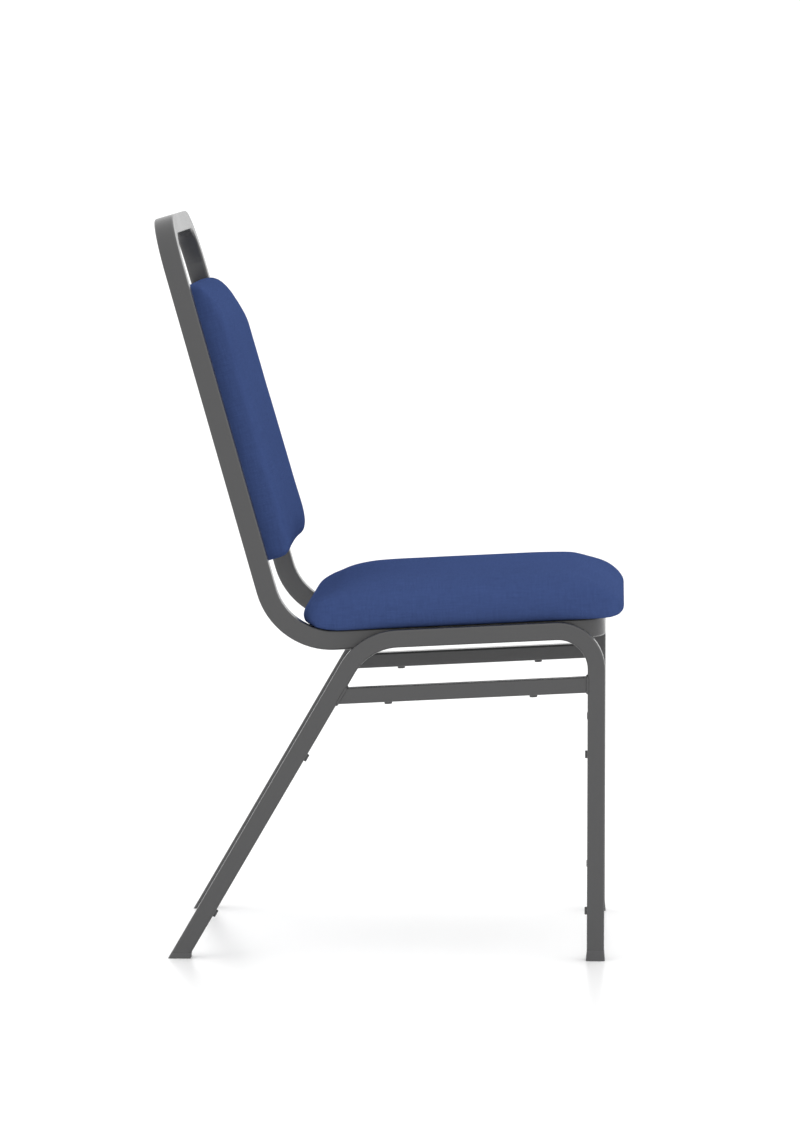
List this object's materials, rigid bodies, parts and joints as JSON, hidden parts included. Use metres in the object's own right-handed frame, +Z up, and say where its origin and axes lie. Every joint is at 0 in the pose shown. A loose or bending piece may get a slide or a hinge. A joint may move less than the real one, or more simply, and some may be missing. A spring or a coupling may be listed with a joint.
{
  "type": "stacking chair",
  "caption": "Upholstered stacking chair with bent square-tube leg frames, a tapered tube hoop back with a hand hold, and blue fabric seat and back pads.",
  "frame": {"origin": "on the floor, under the middle of the chair's overall box", "axes": "+Z up, the chair faces -Y, +X to the sitter's left"},
  "size_m": [0.4422, 0.5991, 0.9424],
  "materials": {
    "frame_paint": "dark grey powder coat, semi-matte",
    "black_plastic": "moulded black plastic",
    "plywood": "bare plywood",
    "foam": "open-cell polyurethane foam",
    "blue_fabric": "flat woven blue upholstery fabric",
    "dust_cloth": "black non-woven cloth",
    "zinc_steel": "bright zinc plated"
  },
  "bodies": {
    "root": {"back_board": "plywood", "back_cover": "blue_fabric", "back_fixing_tabs": "frame_paint", "back_foam": "foam", "back_hoop": "frame_paint", "back_panel_clips": "black_plastic", "back_rear_panel": "blue_fabric", "back_screws": "zinc_steel", "back_tee_nuts": "zinc_steel", "front_glide_left": "black_plastic", "front_glide_right": "black_plastic", "leg_frame_left": "frame_paint", "leg_frame_right": "frame_paint", "rear_glide_left": "black_plastic", "rear_glide_right": "black_plastic", "seat_board": "plywood", "seat_cover": "blue_fabric", "seat_cross_rail": "frame_paint", "seat_dust_cover": "dust_cloth", "seat_fixing_tabs": "frame_paint", "seat_foam": "foam", "seat_front_rail": "frame_paint", "seat_screws": "zinc_steel", "seat_tee_nuts": "zinc_steel", "seat_washers": "zinc_steel", "side_stretcher_left": "frame_paint", "side_stretcher_right": "frame_paint", "stack_button_front_leg_lower_left": "black_plastic", "stack_button_front_leg_lower_right": "black_plastic", "stack_button_front_leg_upper_left": "black_plastic", "stack_button_front_leg_upper_right": "black_plastic", "stack_button_rear_leg_lower_left": "black_plastic", "stack_button_rear_leg_lower_right": "black_plastic", "stack_button_rear_leg_upper_left": "black_plastic", "stack_button_rear_leg_upper_right": "black_plastic", "stack_button_stretcher_front_left": "black_plastic", "stack_button_stretcher_front_right": "black_plastic", "stack_button_stretcher_rear_left": "black_plastic", "stack_button_stretcher_rear_right": "black_plastic"}
  },
  "joints": []
}
